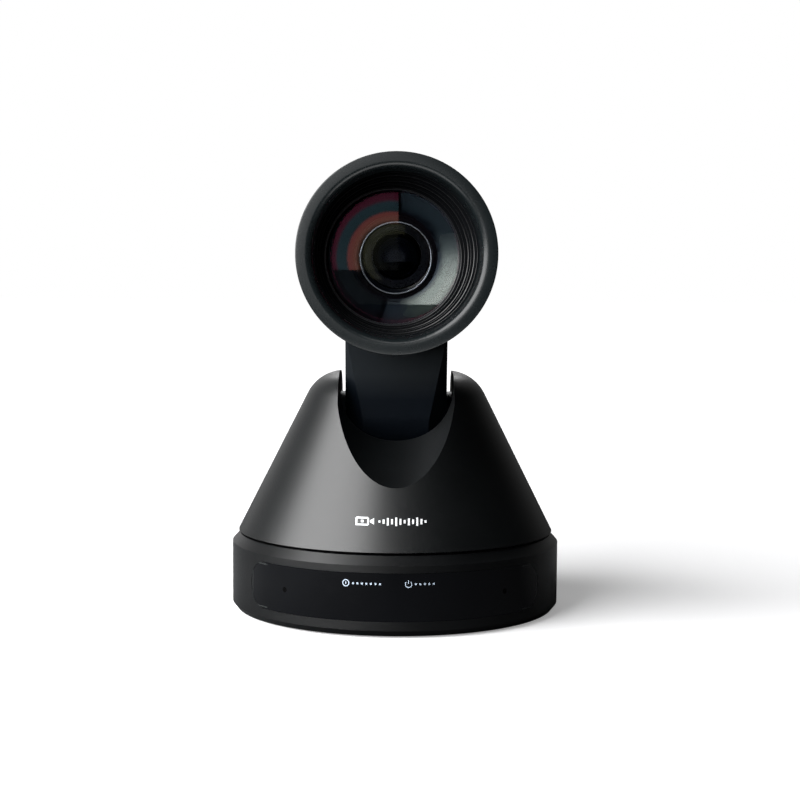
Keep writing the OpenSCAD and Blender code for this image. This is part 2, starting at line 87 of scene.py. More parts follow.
# ---------- shader helpers ----------
class Shader:
    """A new material with its Principled shader and short ways to add nodes."""

    def __init__(self, name):
        self.mat = bpy.data.materials.new(name)
        self.mat.use_nodes = True
        self.tree = self.mat.node_tree
        self.bsdf = next(n for n in self.tree.nodes if n.type == "BSDF_PRINCIPLED")
        self.out = next(n for n in self.tree.nodes if n.type == "OUTPUT_MATERIAL")

    def add(self, kind, **values):
        """A node; each value sets its attribute of that name, or else its input."""
        node = self.tree.nodes.new(kind)
        for key, value in values.items():
            if hasattr(node, key):
                setattr(node, key, value)
            else:
                node.inputs[key.replace("_", " ")].default_value = value
        return node

    def link(self, a, b):
        self.tree.links.new(a, b)

    def set(self, **values):
        for key, value in values.items():
            self.bsdf.inputs[key.replace("_", " ")].default_value = value

    def coords(self):
        """The place in the object's own frame, in metres."""
        return self.add("ShaderNodeTexCoord").outputs["Object"]

    def noise(self, scale, detail=3.0):
        n = self.add("ShaderNodeTexNoise", Scale=scale, Detail=detail)
        self.link(self.coords(), n.inputs["Vector"])
        return n.outputs["Fac"]

    def spread(self, fac, low, high, start=0.3, end=0.7):
        """Maps start to end onto low to high; the defaults suit a noise factor."""
        n = self.add("ShaderNodeMapRange")
        n.inputs["From Min"].default_value = start
        n.inputs["From Max"].default_value = end
        n.inputs["To Min"].default_value = low
        n.inputs["To Max"].default_value = high
        self.link(fac, n.inputs["Value"])
        return n.outputs["Result"]

    def axis(self, letter):
        """One coordinate of the object's own frame, in metres."""
        sep = self.add("ShaderNodeSeparateXYZ")
        self.link(self.coords(), sep.inputs[0])
        return sep.outputs[letter]

    def mix(self, fac, a, b):
        """Blends two colours, each a tuple or a socket, by a factor."""
        n = self.add("ShaderNodeMix", data_type="RGBA")
        self.link(fac, n.inputs["Factor"])
        for value, socket in ((a, n.inputs[6]), (b, n.inputs[7])):
            if isinstance(value, tuple):
                socket.default_value = (*value, 1)
            else:
                self.link(value, socket)
        return n.outputs[2]

    def bump(self, fac, strength, distance):
        n = self.add("ShaderNodeBump", Strength=strength, Distance=distance)
        self.link(fac, n.inputs["Height"])
        self.link(n.outputs["Normal"], self.bsdf.inputs["Normal"])


def plastic(name, colour, rough, grain=1800.0, bump=0.12, vary=0.04, spec=0.5):
    """Moulded or painted plastic: fine grain, slightly uneven sheen and tone."""
    s = Shader(name)
    s.set(Specular_IOR_Level=spec)
    cloud = s.noise(45.0, 4.0)
    light = tuple(min(1.0, c * 1.35 + 0.001) for c in colour)
    s.link(s.mix(s.spread(cloud, 0.0, 1.0), colour, light), s.bsdf.inputs["Base Color"])
    s.link(s.spread(s.noise(grain, 2.0), rough - vary, rough + vary), s.bsdf.inputs["Roughness"])
    s.bump(s.noise(grain, 2.0), bump, GRAIN_DEPTH)
    return s.mat


def neck_plastic():
    """The neck's satin black, with painted shade: its reflection is tinted darker and bluer down
    in the well of the turret.
    """
    s = Shader("satin_black_neck")
    s.set(Specular_IOR_Level=0.3)
    low, high = (0.0010, 0.0016, 0.0026), (0.0017, 0.0028, 0.0046)
    s.link(s.mix(s.spread(s.noise(45.0, 4.0), 0.0, 1.0), low, high), s.bsdf.inputs["Base Color"])
    s.link(s.spread(s.noise(1800.0, 2.0), 0.36, 0.44), s.bsdf.inputs["Roughness"])
    # painted shade: from 15 mm above the tilt axis down to 6 mm above it, the reflection's tint
    # darkens to a dim blue
    deep = s.spread(s.axis("Z"), 1.0, 0.0, TILT_Z + 6 * MM, TILT_Z + 15 * MM)
    s.link(s.mix(deep, (0.85, 0.95, 1.0), (0.24, 0.28, 0.34)), s.bsdf.inputs["Specular Tint"])
    s.bump(s.noise(1800.0, 2.0), 0.08, GRAIN_DEPTH)
    return s.mat


def gloss_black(name, colour=(0.0022, 0.0024, 0.0030), rough=0.09):
    """Polished dark acrylic: very faint waviness."""
    s = Shader(name)
    s.link(s.mix(s.spread(s.noise(30.0), 0.0, 1.0), colour, tuple(c * 1.4 for c in colour)),
           s.bsdf.inputs["Base Color"])
    s.link(s.spread(s.noise(260.0, 4.0), rough - 0.03, rough + 0.04), s.bsdf.inputs["Roughness"])
    return s.mat


def metal(name, colour, rough):
    """Turned or drawn metal with fine level lines."""
    s = Shader(name)
    s.set(Metallic=1.0)
    m = s.add("ShaderNodeMapping")
    m.inputs["Scale"].default_value = (40.0, 40.0, 1400.0)
    s.link(s.coords(), m.inputs["Vector"])
    n = s.add("ShaderNodeTexNoise", Scale=1.0, Detail=4.0)
    s.link(m.outputs["Vector"], n.inputs["Vector"])
    dark = tuple(c * 0.72 for c in colour)
    s.link(s.mix(s.spread(n.outputs["Fac"], 0.0, 1.0), dark, colour), s.bsdf.inputs["Base Color"])
    s.link(s.spread(n.outputs["Fac"], rough + 0.1, rough), s.bsdf.inputs["Roughness"])
    s.bump(n.outputs["Fac"], 0.25, 0.03 * MM)
    return s.mat


def rubber(name, colour=(0.018, 0.018, 0.019)):
    """Dull dark rubber with a coarse grain."""
    s = Shader(name)
    s.set(Specular_IOR_Level=0.35)
    s.link(s.mix(s.spread(s.noise(160.0), 0.0, 1.0), colour, tuple(c * 1.6 for c in colour)),
           s.bsdf.inputs["Base Color"])
    s.link(s.spread(s.noise(900.0), 0.72, 0.9), s.bsdf.inputs["Roughness"])
    s.bump(s.noise(2200.0, 2.0), 0.35, 0.06 * MM)
    return s.mat


def board(name):
    """Solder mask with lighter lines where copper tracks lie under it."""
    s = Shader(name)
    brick = s.add("ShaderNodeTexBrick", Scale=260.0)
    brick.inputs["Mortar Size"].default_value = 0.03
    brick.inputs["Color1"].default_value = (0.008, 0.07, 0.03, 1)
    brick.inputs["Color2"].default_value = (0.01, 0.085, 0.035, 1)
    brick.inputs["Mortar"].default_value = (0.03, 0.2, 0.08, 1)
    s.link(s.coords(), brick.inputs["Vector"])
    s.link(brick.outputs["Color"], s.bsdf.inputs["Base Color"])
    s.link(s.spread(s.noise(300.0), 0.28, 0.42), s.bsdf.inputs["Roughness"])
    return s.mat


GLASS_MIRROR = 0.3  # share of the light that lens glass mirrors
TINT_SPAN = 30.0  # mm from the lens axis over which tints are given


def coated_glass(name, tints, clear, centre):
    """Clear glass with a coating that colours its reflection in rings round the lens axis; for
    the zoom lens the rings also hold a painted glint at its middle.
    """
    s = Shader(name)
    s.tree.nodes.remove(s.bsdf)
    through = s.add("ShaderNodeBsdfTransparent", Color=(*clear, 1))
    gloss = s.add("ShaderNodeBsdfGlossy", Roughness=0.03)
    s.link(ring_colours(s, tints, centre), gloss.inputs["Color"])
    mix = s.add("ShaderNodeMixShader")
    mix.inputs[0].default_value = GLASS_MIRROR
    s.link(through.outputs[0], mix.inputs[1])
    s.link(gloss.outputs[0], mix.inputs[2])
    s.link(mix.outputs[0], s.out.inputs["Surface"])
    return s.mat


def clear_back(name):
    """The uncoated rear face of a lens."""
    s = Shader(name)
    s.tree.nodes.remove(s.bsdf)
    through = s.add("ShaderNodeBsdfTransparent")
    s.link(s.mix(s.spread(s.noise(40.0), 0.0, 1.0), (0.97, 0.98, 1.0), (1.0, 1.0, 1.0)),
           through.inputs["Color"])
    s.link(through.outputs[0], s.out.inputs["Surface"])
    return s.mat


def ring_colours(s, stops, centre=(0.0, 0.0)):
    """Colour by distance from the lens axis: stops are (radius in mm, colour)."""
    off = s.add("ShaderNodeVectorMath", operation="SUBTRACT")
    s.link(s.coords(), off.inputs[0])
    off.inputs[1].default_value = (centre[0] * MM, 0, LENS_Z + centre[1] * MM)
    flat = s.add("ShaderNodeVectorMath", operation="MULTIPLY")
    s.link(off.outputs[0], flat.inputs[0])
    flat.inputs[1].default_value = (1, 0, 1)
    far = s.add("ShaderNodeVectorMath", operation="LENGTH")
    s.link(flat.outputs[0], far.inputs[0])
    fac = s.spread(far.outputs["Value"], 0.0, 1.0, 0.0, TINT_SPAN * MM)
    ramp = s.add("ShaderNodeValToRGB")
    while len(ramp.color_ramp.elements) < len(stops):
        ramp.color_ramp.elements.new(0.5)
    for el, (r, colour) in zip(ramp.color_ramp.elements, stops):
        el.position = r / TINT_SPAN
        el.color = (*colour, 1)
    s.link(fac, ramp.inputs["Fac"])
    return ramp.outputs["Color"]


MATS = {
    "shell": plastic("satin_black", (0.0016, 0.0021, 0.0024), 0.38, bump=0.08),
    "base": plastic("satin_black_base", (0.0016, 0.0019, 0.0022), 0.34, bump=0.06),
    "neck": neck_plastic(),
    "ring": plastic("ring_black", (0.0034, 0.0050, 0.0056), 0.27, grain=220.0, bump=0.01,
                    spec=0.34, vary=0.01),
    "baffle": plastic("hood_black", (0.0013, 0.0016, 0.0021), 0.6, bump=0.01, spec=0.02),
    "baffle_edge": plastic("hood_edge", (0.0010, 0.0013, 0.0016), 0.3, bump=0.005, spec=0.6,
                           vary=0.01),
    "window": gloss_black("window_acrylic"),
    "lens_metal": plastic("lens_black", (0.0012, 0.0022, 0.0046), 0.3, bump=0.02, spec=0.3),
    "panel": plastic("port_panel_black", (0.006, 0.006, 0.0066), 0.5, bump=0.25, grain=1200.0),
    "plate": plastic("plate_powder", (0.010, 0.010, 0.011), 0.55, bump=0.5, grain=900.0),
    "port_black": plastic("port_black", (0.004, 0.004, 0.0045), 0.45, bump=0.1),
    "steel": metal("steel", (0.55, 0.56, 0.58), 0.22),
    "port_steel": metal("port_steel", (0.62, 0.63, 0.65), 0.2),
    "aluminium": metal("aluminium", (0.68, 0.69, 0.71), 0.3),
    "brass": metal("brass", (0.70, 0.48, 0.18), 0.25),
    "rubber": rubber("rubber"),
    "cable": rubber("cable_sleeve", (0.02, 0.02, 0.022)),
    "board": board("circuit_board"),
    "gear": plastic("gear_acetal", (0.72, 0.70, 0.64), 0.45, bump=0.05),
    "sensor": gloss_black("sensor_glass", (0.05, 0.03, 0.09), 0.12),
    "blade": plastic("blade_black", (0.006, 0.006, 0.006), 0.5, bump=0.05),
}

NODE_MATS = {
    "shell": "turret_shell head_barrel rear_cap neck_cover",
    "base": "base_housing",
    "neck": "neck_shell",
    "ring": "front_ring",
    "baffle": "hood_baffle lens_block",
    "window": "front_window ir_receiver",
    "lens_metal": "lens_retainer inner_ring zoom_group focus_group",
    "panel": "io_panel",
    "plate": "base_plate",
    "port_black": "dc_jack serial_port",
    "port_steel": "usb_port hdmi_port lan_port",
    "steel": "base_screws turret_screws head_screws gear_nut guide_rods tilt_shafts"
    " pan_spindle bearing_outer bearing_balls bearing_inner",
    "aluminium": "microphones pan_motor tilt_motor turret_platform motor_bracket"
    " yoke_arm_left yoke_arm_right tilt_pulley motor_pulley",
    "brass": "tripod_insert tilt_bushings pan_pinion",
    "rubber": "rubber_feet tilt_belt",
    "cable": "wire_harness",
    "board": "indicator_board main_board driver_board sensor_board",
    "gear": "pan_gear",
    "sensor": "image_sensor",
    "blade": "iris_blade_a iris_blade_b",
}


def paint(obj, mat):
    obj.data.materials.clear()
    obj.data.materials.append(mat)


for key, names in NODE_MATS.items():
    for name in names.split():
        paint(nodes[name], MATS[key])


# ---------- exact shading on the CAD's surfaces ----------
SAME_PLACE = 2e-7  # vertices this close share a normal


def smooth(obj, angle=34.0, exact=()):
    """Custom normals: the true one on a known surface, else the mean of nearly level faces.

    Each entry of exact is a test for vertices on a surface and the surface's normal.
    """
    me = obj.data
    nv, nl, npoly = len(me.vertices), len(me.loops), len(me.polygons)
    co = np.empty(nv * 3)
    me.vertices.foreach_get("co", co)
    co = co.reshape(-1, 3)
    loop_v = np.empty(nl, np.int64)
    me.loops.foreach_get("vertex_index", loop_v)
    normal = np.empty(npoly * 3)
    me.polygons.foreach_get("normal", normal)
    normal = normal.reshape(-1, 3)
    start = np.empty(npoly, np.int64)
    total = np.empty(npoly, np.int64)
    me.polygons.foreach_get("loop_start", start)
    me.polygons.foreach_get("loop_total", total)
    area = np.empty(npoly)
    me.polygons.foreach_get("area", area)
    loop_f = np.empty(nl, np.int64)
    for f in range(npoly):
        loop_f[start[f]:start[f] + total[f]] = f
    grid = np.round(co / SAME_PLACE).astype(np.int64)
    _, place = np.unique(grid, axis=0, return_inverse=True)
    place = place.ravel()[loop_v]
    order = np.argsort(place, kind="stable")
    edges = np.flatnonzero(np.diff(place[order])) + 1
    limit = math.cos(math.radians(angle))
    out = normal[loop_f].copy()
    for group in np.split(order, edges):
        n = normal[loop_f[group]]
        near = (n @ n.T > limit).astype(float) * area[loop_f[group]][None, :]
        s = near @ n
        length = np.linalg.norm(s, axis=1, keepdims=True)
        out[group] = np.where(length > 1e-12, s / np.maximum(length, 1e-12), n)
    for on_surface, direction in exact:
        good = on_surface(co)
        n_at = direction(co)
        face_ok = np.ones(npoly, bool)
        np.logical_and.at(face_ok, loop_f, good[loop_v])
        agree = np.einsum("ij,ij->i", normal[loop_f], n_at[loop_v]) > 0.8
        np.logical_and.at(face_ok, loop_f, agree)
        pick = face_ok[loop_f]
        out[pick] = n_at[loop_v][pick]
    me.polygons.foreach_set("use_smooth", np.ones(npoly, bool))
    me.normals_split_custom_set(out.tolist())


def about(axis_point, axis_dir, radius, sign):
    """A round surface about an axis, as a test and a normal; sign -1 for a hollow."""
    p = np.array(axis_point, float)
    d = np.array(axis_dir, float)
    d /= np.linalg.norm(d)

    def away(co):
        v = co - p
        return v - np.outer(v @ d, d)

    def on(co):
        return np.abs(np.linalg.norm(away(co), axis=1) - radius) < 0.04 * MM

    def direction(co):
        v = away(co)
        return sign * v / np.maximum(np.linalg.norm(v, axis=1, keepdims=True), 1e-9)

    return on, direction


def on_cone(co):
    r = np.hypot(co[:, 0], co[:, 1])
    return np.abs(r - (CONE_R - CONE_SLOPE * (co[:, 2] - CONE_Z))) < SURFACE_TOL


def cone_normal(co):
    r = np.maximum(np.hypot(co[:, 0], co[:, 1]), 1e-9)
    n = np.stack([co[:, 0] / r, co[:, 1] / r, np.full(len(co), CONE_SLOPE)], 1)
    return n / np.linalg.norm(n, axis=1, keepdims=True)


SHOULDER = 14.5 * MM  # radius of the round between the cone and the ears' top
EAR_TOP = shell_hi.z
SLANT = math.atan(CONE_SLOPE)
CAP_R = (CONE_R - CONE_SLOPE * (EAR_TOP - CONE_Z)
         - SHOULDER * math.tan((math.pi / 2 - SLANT) / 2))


def shoulder_parts(co):
    """Distance from the pan axis, then outwards and upwards from the round's middle."""
    r = np.maximum(np.hypot(co[:, 0], co[:, 1]), 1e-9)
    return r, r - CAP_R, co[:, 2] - (EAR_TOP - SHOULDER)


def on_shoulder(co):
    _, a, b = shoulder_parts(co)
    return (np.abs(np.hypot(a, b) - SHOULDER) < SURFACE_TOL) & (a > -1e-5) & (b > 0)


def shoulder_normal(co):
    r, a, b = shoulder_parts(co)
    n = np.stack([co[:, 0] / r * a, co[:, 1] / r * a, b], 1)
    return n / np.maximum(np.linalg.norm(n, axis=1, keepdims=True), 1e-9)


SCOOP_RISE = math.radians(24.2)
SCOOP_AT = (0, -46.4 * MM, 71.4 * MM)
SCOOP_AXIS = (0, math.cos(SCOOP_RISE), math.sin(SCOOP_RISE))
SHELL_SURFACES = [
    (on_cone, cone_normal),
    (on_shoulder, shoulder_normal),
    about(SCOOP_AT, SCOOP_AXIS, 20.9 * MM, -1),
    about((0, 0, TILT_Z), (1, 0, 0), 19.2 * MM, -1),  # the well round the neck
    about((0, 56.2 * MM, 0), (0, 0, 1), 33 * MM, -1),  # the channel at the back
]
for name, obj in nodes.items():
    if name == "turret_shell":
        smooth(obj, exact=SHELL_SURFACES)
    elif name in ("pan_gear", "pan_pinion", "gear_nut"):
        smooth(obj, 12.0)
    else:
        smooth(obj)


# ---------- pieces built here ----------
lens_glass, dish_pieces, zoom_pieces, ring_pieces = [], [], [], []  # lit by lights of their own

GLASS_SHIFT = (-1.4, -0.8)  # mm: the glass sits a little low and to the left in its hood
INNER_SHIFT = (-0.3, -0.9)
DISH_SHIFT = (-0.4, -0.6)


def new_piece(name, verts, faces, mat, body, slot, level=30.0):
    """A closed piece that is shaded smooth where faces meet at less than level degrees."""
    me = bpy.data.meshes.new(name)
    me.from_pydata([tuple(v) for v in verts], [], faces)
    me.validate()
    bm = bmesh.new()
    bm.from_mesh(me)
    bmesh.ops.remove_doubles(bm, verts=bm.verts, dist=1e-7)
    bmesh.ops.recalc_face_normals(bm, faces=bm.faces)
    bm.to_mesh(me)
    bm.free()
    me.materials.append(mat)
    me.polygons.foreach_set("use_smooth", [True] * len(me.polygons))
    me.set_sharp_from_angle(angle=math.radians(level))
    obj = bpy.data.objects.new(name, me)
    bpy.context.scene.collection.objects.link(obj)
    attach(obj, body)
    return obj


def rounded(profile, radius, steps=4):
    """Rounds every corner of a closed profile of (r, y[, shift]) points, in mm."""
    out = []
    n = len(profile)
    for i in range(n):
        p = np.array(profile[i], float)
        a = np.array(profile[i - 1], float)
        b = np.array(profile[(i + 1) % n], float)
        da, db = a - p, b - p
        la, lb = np.linalg.norm(da[:2]), np.linalg.norm(db[:2])
        cut = min(radius, la * 0.45, lb * 0.45)
        start, end = p + da / la * cut, p + db / lb * cut
        for k in range(steps + 1):
            t = k / steps
            out.append((1 - t) ** 2 * start + 2 * t * (1 - t) * p + t * t * end)
    return out


def lathe(name, profile, mat, body, slot, level, segments=160):
    """Turns a closed profile of (r, y, shift along X and Z) in mm round the lens axis."""
    ring = [np.array([*p, 0.0, 0.0][:4], float) for p in profile]
    verts, faces = [], []
    for s in range(segments):
        a = 2 * math.pi * s / segments
        for r, y, dx, dz in ring:
            verts.append((
                (r * math.cos(a) + dx) * MM,
                y * MM,
                LENS_Z + (r * math.sin(a) + dz) * MM,
            ))
    n = len(ring)
    for s in range(segments):
        t = (s + 1) % segments
        for i in range(n):
            j = (i + 1) % n
            faces.append((s * n + i, s * n + j, t * n + j, t * n + i))
    return new_piece(name, verts, faces, mat, body, slot, level)


def dome_profile(r, vertex, curve, steps=14):
    """Points from the axis out to radius r along a dome of a given curvature radius."""
    pts = []
    for k in range(steps + 1):
        q = r * k / steps
        sag = abs(curve) - math.sqrt(curve * curve - q * q)
        pts.append((max(q, 1e-4), vertex + math.copysign(sag, curve)))
    return pts


def lens(name, r, front, front_curve, back, back_curve, mat, body, slot, shift):
    """A lens with a coated front; its rear face and edge are plain clear glass."""
    a = dome_profile(r, front, front_curve)
    b = dome_profile(r, back, back_curve)
    obj = lathe(name, [(*p, *shift) for p in a + b[::-1]], mat, body, slot, level=40.0)
    obj.data.materials.append(clear_back(name + "_rear"))
    for face in obj.data.polygons:
        if face.normal.y > -0.5:
            face.material_index = 1
    lens_glass.append(obj)
    return obj


HOOD_FRONT = -62.3  # mm along Y
HOOD_BACK = -50.05
HOOD_STEPS = [(26.0, 0.07), (25.2, 0.24), (24.6, 0.07), (24.0, 0.22), (23.2, 0.07),
              (22.4, 0.18)]  # inner radius and width of the polished crest, in mm
STEP_LENGTH = 2.05
CREST_FACE = 0.25  # mm2: only the crests have faces smaller than this


def hood():
    """Matt steps inside the hood. Their polished crests catch the light as thin lines."""
    pts = []
    y = HOOD_FRONT
    for i, (r, crest) in enumerate(HOOD_STEPS):  # each step lies nearer the glass's middle
        dx, dz = (shift * (i + 0.6) / 5.6 for shift in GLASS_SHIFT)
        pts += [(r + crest, y, dx, dz), (r + crest * 0.3, y + crest * 0.3, dx, dz),
                (r, y + crest, dx, dz),
                (r + 0.3, y + 1.95, dx, dz), (r + 0.2, y + 2.04, dx, dz)]
        y += STEP_LENGTH
    pts += [(22.4, HOOD_BACK, *GLASS_SHIFT), (29.2, HOOD_BACK, 0, 0), (29.2, -58.4, 0, 0),
            (26.85, -58.4, 0, 0), (26.85, HOOD_FRONT, 0, 0)]
    obj = lathe("hood_steps", pts, MATS["baffle"], "head", "baffle", level=50.0)
    obj.data.materials.append(MATS["baffle_edge"])
    for face in obj.data.polygons:
        if face.area < CREST_FACE * MM * MM and face.center.y < -50.2 * MM:
            face.material_index = 1
    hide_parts("hood_baffle")


def front_bezel():
    """The ring round the hood: a broad rounded inner lip and a flat front."""
    lip_r, lip_at = 2.2, (29.3, -66.75)
    turns = [math.pi * (1 + 0.5 * k / 14) for k in range(15)]
    lip = [(lip_at[0] + lip_r * math.cos(a), lip_at[1] + lip_r * math.sin(a)) for a in turns]
    back = rounded([(29.3, -68.95), (32.28, -68.8), (32.28, -61.1), (29.35, -61.1),
                    (29.35, -58.6), (27.0, -58.6), (27.0, -62.2), (26.5, HOOD_FRONT)], 0.35)
    pts = [(26.5, HOOD_FRONT)] + lip + [tuple(p) for p in back[5:-5]]
    obj = lathe("front_bezel", pts, MATS["ring"], "head", "ring", level=50.0)
    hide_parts("front_ring")
    ring_pieces.append(obj)


def retainer():
    """The ring that holds the front glass."""
    pts = [(21.9, -50.0, *GLASS_SHIFT), (21.9, -48.85, *GLASS_SHIFT), (29.2, -48.85, 0, 0),
           (29.2, -49.95, 0, 0)]
    obj = lathe("glass_retainer", rounded(pts, 0.2), MATS["lens_metal"], "head", "lens_metal",
                level=50.0)
    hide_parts("lens_retainer")


# tints of the coatings: distance from the middle in mm, colour. The zoom lens's bright middle is
# a painted glint, and the dish's rings are a painted sheen.
FRONT_TINTS = [
    (0.0, (0.016, 0.02, 0.028)),
    (10.8, (0.064, 0.068, 0.04)),
    (12.4, (1.0, 0.40, 0.30)),
    (14.5, (1.0, 0.28, 0.26)),
    (15.4, (0.10, 0.20, 0.24)),
    (18.0, (0.11, 0.22, 0.27)),
    (19.0, (0.36, 0.06, 0.13)),
    (21.6, (0.26, 0.03, 0.08)),
]
INNER_TINTS = [
    (0.0, (0.004, 0.006, 0.012)),
    (7.8, (0.006, 0.008, 0.014)),
    (8.6, (0.30, 0.30, 0.17)),
    (11.4, (0.26, 0.26, 0.15)),
]
# painted glint: the near-white stops within 2.6 mm let the zoom lens mirror light only at its
# middle; the navy stops further out are the coating's tint
ZOOM_TINTS_AND_GLINT = [
    (0.0, (0.85, 0.90, 0.92)),
    (2.6, (0.70, 0.76, 0.84)),
    (3.6, (0.06, 0.08, 0.15)),
    (6.4, (0.05, 0.07, 0.14)),
    (6.8, (0.16, 0.20, 0.34)),
    (8.2, (0.05, 0.06, 0.12)),
]
# painted sheen: the bright band from 16.2 to 20 mm is a painted crescent of reflection, and the
# dark stops inside 14.2 mm are painted shade next to the trim ring
DISH_SHEEN_RINGS = [
    (0.0, (0.1, 0.12, 0.2)),
    (14.2, (0.14, 0.17, 0.2)),
    (16.2, (0.80, 0.90, 0.80)),
    (20.0, (0.92, 1.0, 0.90)),
    (21.6, (0.35, 0.38, 0.36)),
]


def dish_material():
    """Rear face of the front lens group, with a painted sheen: its reflection's tint is a painted
    crescent that fades upwards, to the left and below.
    """
    s = Shader("lens_dish_painted_sheen")
    s.set(Roughness=0.06, Specular_IOR_Level=1.0)
    s.link(s.mix(s.spread(s.noise(90.0), 0.0, 1.0), (0.0008, 0.0011, 0.0020),
                 (0.0012, 0.0016, 0.0028)), s.bsdf.inputs["Base Color"])
    rings = ring_colours(s, DISH_SHEEN_RINGS)
    # painted sheen: these masks dim the reflection's tint above, to the left of and below the
    # painted crescent
    across, height = s.axis("X"), s.axis("Z")
    upper = s.spread(height, 0.0, 1.0, LENS_Z - 8 * MM, LENS_Z + 3 * MM)
    top = s.spread(height, 0.0, 1.0, LENS_Z - 2 * MM, LENS_Z + 8 * MM)
    left = s.spread(across, 1.0, 0.0, 1 * MM, 9 * MM)
    painted_sheen_mask = s.mix(upper, (1.0, 1.0, 1.0), (0.30, 0.33, 0.36))
    painted_sheen_mask = s.mix(top, painted_sheen_mask, (0.03, 0.042, 0.058))
    painted_sheen_mask = s.mix(left, painted_sheen_mask, s.mix(top, (0.06, 0.07, 0.09), (0.02, 0.028, 0.04)))
    below = s.spread(height, 1.0, 0.0, LENS_Z - 16.5 * MM, LENS_Z - 16.2 * MM)
    painted_sheen_mask = s.mix(below, painted_sheen_mask, s.mix(left, (0.09, 0.11, 0.10), (0.02, 0.028, 0.045)))
    both = s.add("ShaderNodeMix", data_type="RGBA", blend_type="MULTIPLY")
    both.inputs["Factor"].default_value = 1.0
    s.link(rings, both.inputs[6])
    s.link(painted_sheen_mask, both.inputs[7])
    s.link(both.outputs[2], s.bsdf.inputs["Specular Tint"])
    return s.mat


def ring_trim_material():
    """Dull bright metal of the thin ring between the lens groups."""
    s = Shader("ring_trim")
    s.set(Metallic=1.0, Roughness=0.22)
    s.link(s.mix(s.spread(s.noise(600.0), 0.0, 1.0), (0.22, 0.24, 0.27), (0.32, 0.34, 0.37)),
           s.bsdf.inputs["Base Color"])
    return s.mat


DISH_CURVE = 56.0  # mm, radius of the dish's own curve
DISH_SHADE = (100.0, 92.0)  # mm, radii of the gentler curve it is shaded as, along X and Z
DISH_CENTRE = (-18.0, 17.6)  # mm of that curve's middle from the lens axis, along X and Z


def aim_dish(obj):
    """Shades the dish as part of one wide curve whose middle lies up and to the left."""
    me = obj.data
    out = []
    for face in me.polygons:
        for v in face.vertices:
            co = me.vertices[v].co
            side = -(co.x / MM - DISH_SHIFT[0] - DISH_CENTRE[0]) / DISH_SHADE[0]
            lean = -((co.z - LENS_Z) / MM - DISH_SHIFT[1] - DISH_CENTRE[1]) / DISH_SHADE[1]
            n = Vector((side, -math.sqrt(1 - side * side - lean * lean), lean))
            out.append(n if face.normal.y < -0.3 else face.normal.copy())
    me.normals_split_custom_set(out)


def front_glass():
    """The coated lens at the front."""
    glass = coated_glass("front_glass_coating", FRONT_TINTS, (0.96, 0.97, 0.98), GLASS_SHIFT)
    obj = lens("front_glass", 23.2, -50.4, 150.0, -46.6, -400.0, glass, "head", "front_glass",
               GLASS_SHIFT)
    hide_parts("front_element")


def lens_dish():
    """The hollow face behind the front glass, from its rim in to the trim ring."""
    inner_r, rim_r, rim_y, steps = 14.0, 22.3, -45.6, 12
    profile = [(22.4, -44.9, *DISH_SHIFT), (14.6, -40.85, *DISH_SHIFT)]
    rim_sag = DISH_CURVE - math.sqrt(DISH_CURVE ** 2 - rim_r ** 2)
    for k in range(steps + 1):
        r = inner_r + (rim_r - inner_r) * k / steps
        y = rim_y + rim_sag - DISH_CURVE + math.sqrt(DISH_CURVE ** 2 - r * r)
        profile.append((r, y, *DISH_SHIFT))
    obj = lathe("lens_dish", profile, dish_material(), "head", "front_glass", level=40.0)
    aim_dish(obj)
    dish_pieces.append(obj)


def inner_lenses():
    """Trim ring, collar, inner glass and the zoom group's own lens."""
    trim = [(11.35, -43.0), (11.6, -43.35), (12.15, -43.35), (12.4, -43.0), (12.4, -42.4),
            (11.35, -42.4)]
    lathe("ring_trim", rounded([(*p, *INNER_SHIFT) for p in trim], 0.15),
          ring_trim_material(), "head", "lens_metal", level=50.0)
    collar = [(12.4, -42.6), (13.9, -42.2), (14.3, -41.6), (14.3, -41.0), (12.4, -41.0)]
    lathe("ring_collar", rounded([(*p, *INNER_SHIFT) for p in collar], 0.2),
          MATS["lens_metal"], "head", "lens_metal", level=50.0)
    inner = coated_glass("inner_glass_coating", INNER_TINTS, (0.92, 0.94, 1.0), INNER_SHIFT)
    lens("inner_glass", 11.35, -42.9, 90.0, -42.5, 300.0, inner, "head", "inner_glass",
         INNER_SHIFT)
    zoom = coated_glass("zoom_glass_coating_and_glint", ZOOM_TINTS_AND_GLINT, (0.85, 0.9, 1.0), INNER_SHIFT)
    obj = lens("zoom_glass", 8.2, -38.0, 30.0, -35.5, 40.0, zoom, "zoom", "inner_glass",
               INNER_SHIFT)
    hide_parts("zoom_lens")
    lens_glass.remove(obj)
    zoom_pieces.append(obj)


hood()
front_bezel()
retainer()
front_glass()
lens_dish()
inner_lenses()


# ---------- inside the sockets at the back ----------
def bevelled(blocks, bevel):
    """Softened blocks, each (low corner, high corner) in metres, as corners and faces."""
    bm = bmesh.new()
    for lo, hi in blocks:
        for v in bmesh.ops.create_cube(bm, size=1.0)["verts"]:
            v.co = Vector([lo[k] if v.co[k] < 0 else hi[k] for k in range(3)])
    bmesh.ops.bevel(bm, geom=bm.edges[:], offset=bevel, segments=2, affect="EDGES")
    bm.verts.index_update()
    verts = [v.co.copy() for v in bm.verts]
    faces = [[v.index for v in f.verts] for f in bm.faces]
    bm.free()
    return verts, faces


